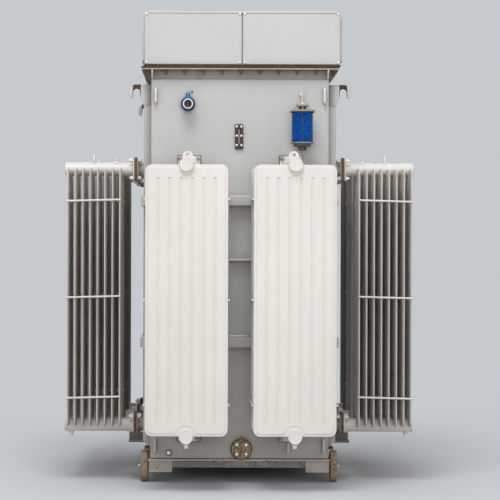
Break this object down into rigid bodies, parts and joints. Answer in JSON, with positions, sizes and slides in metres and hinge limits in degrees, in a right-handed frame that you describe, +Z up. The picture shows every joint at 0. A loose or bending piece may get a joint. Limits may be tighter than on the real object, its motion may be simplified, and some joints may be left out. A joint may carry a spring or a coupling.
{
  "type": "variable autotransformer",
  "caption": "Oil-filled column-type variable autotransformer: tall tank with a top terminal box, plate radiators, breather, valve and gauge, on skids with rollers.",
  "frame": {"origin": "on the floor under the middle of the tank, which is the middle of the footprint", "axes": "+Z up, front with the valve, gauge and breather towards -Y, +X to the right seen from the front"},
  "size_m": [2.32, 2.9656, 3.077],
  "materials": {
    "tank_paint": "light grey paint, satin, with weld lines and faint dirt",
    "box_paint": "light grey paint, satin, clean sheet metal",
    "radiator_paint": "cream white paint, satin, with small chips along the edges",
    "base_paint": "grey paint, worn and dusty",
    "rusty_edge": "brown rusty plate edge",
    "wheel_iron": "brown cast iron, rusty and dusty",
    "gasket": "dark brown cork rubber",
    "zinc": "bright zinc plate",
    "valve_blue": "blue enamel",
    "tan_enamel": "tan enamel, dirty",
    "clear_glass": "clear glass cylinder",
    "blue_gel": "cobalt blue silica gel beads",
    "gauge_brown": "dark brown enamel",
    "gauge_window": "grey sight glass"
  },
  "bodies": {
    "plant": {"tank_front_wall": "tank_paint", "tank_rear_wall": "tank_paint", "tank_left_wall": "tank_paint", "tank_right_wall": "tank_paint", "tank_bottom": "base_paint", "tank_rim": "tank_paint", "lid_gasket": "gasket", "tank_lid": "rusty_edge", "front_belts": "tank_paint", "rear_belts": "tank_paint", "left_belts": "tank_paint", "right_belts": "tank_paint", "side_posts": "tank_paint", "lifting_hooks": "tank_paint", "wall_lugs": "tank_paint", "earthing_bosses": "zinc", "valve_body": "valve_blue", "valve_spindle": "valve_blue", "breather_pipe": "tank_paint", "breather_head": "tan_enamel", "breather_glass": "clear_glass", "breather_gel": "blue_gel", "breather_cup": "tank_paint", "gauge_frame": "gauge_brown", "gauge_glass": "gauge_window", "drain_flange": "tank_paint", "drain_cover": "rusty_edge", "box_shell": "box_paint", "front_cover_left": "box_paint", "front_cover_right": "box_paint", "rear_covers": "box_paint", "side_cover_left": "box_paint", "side_cover_right": "box_paint", "front_radiator_left": "radiator_paint", "front_radiator_right": "radiator_paint", "rear_radiator_left": "radiator_paint", "rear_radiator_right": "radiator_paint", "left_radiator_front": "radiator_paint", "left_radiator_middle": "radiator_paint", "left_radiator_rear": "radiator_paint", "right_radiator_front": "radiator_paint", "right_radiator_middle": "radiator_paint", "right_radiator_rear": "radiator_paint", "radiator_pipes": "tank_paint", "skid_beams": "base_paint", "cross_beams": "base_paint", "jacking_brackets": "base_paint", "axles": "wheel_iron"},
    "wheel_front_left": {"wheel_front_left": "wheel_iron"},
    "wheel_front_right": {"wheel_front_right": "wheel_iron"},
    "wheel_rear_left": {"wheel_rear_left": "wheel_iron"},
    "wheel_rear_right": {"wheel_rear_right": "wheel_iron"}
  },
  "joints": [
    {"name": "wheel_front_left_roll", "type": "hinge", "parent": "plant", "child": "wheel_front_left", "pos_m": [-0.6205, -0.8, 0.103], "axis": [1, 0, 0], "continuous": true},
    {"name": "wheel_front_right_roll", "type": "hinge", "parent": "plant", "child": "wheel_front_right", "pos_m": [0.6205, -0.8, 0.103], "axis": [1, 0, 0], "continuous": true},
    {"name": "wheel_rear_left_roll", "type": "hinge", "parent": "plant", "child": "wheel_rear_left", "pos_m": [-0.6205, 0.8, 0.103], "axis": [1, 0, 0], "continuous": true},
    {"name": "wheel_rear_right_roll", "type": "hinge", "parent": "plant", "child": "wheel_rear_right", "pos_m": [0.6205, 0.8, 0.103], "axis": [1, 0, 0], "continuous": true}
  ]
}
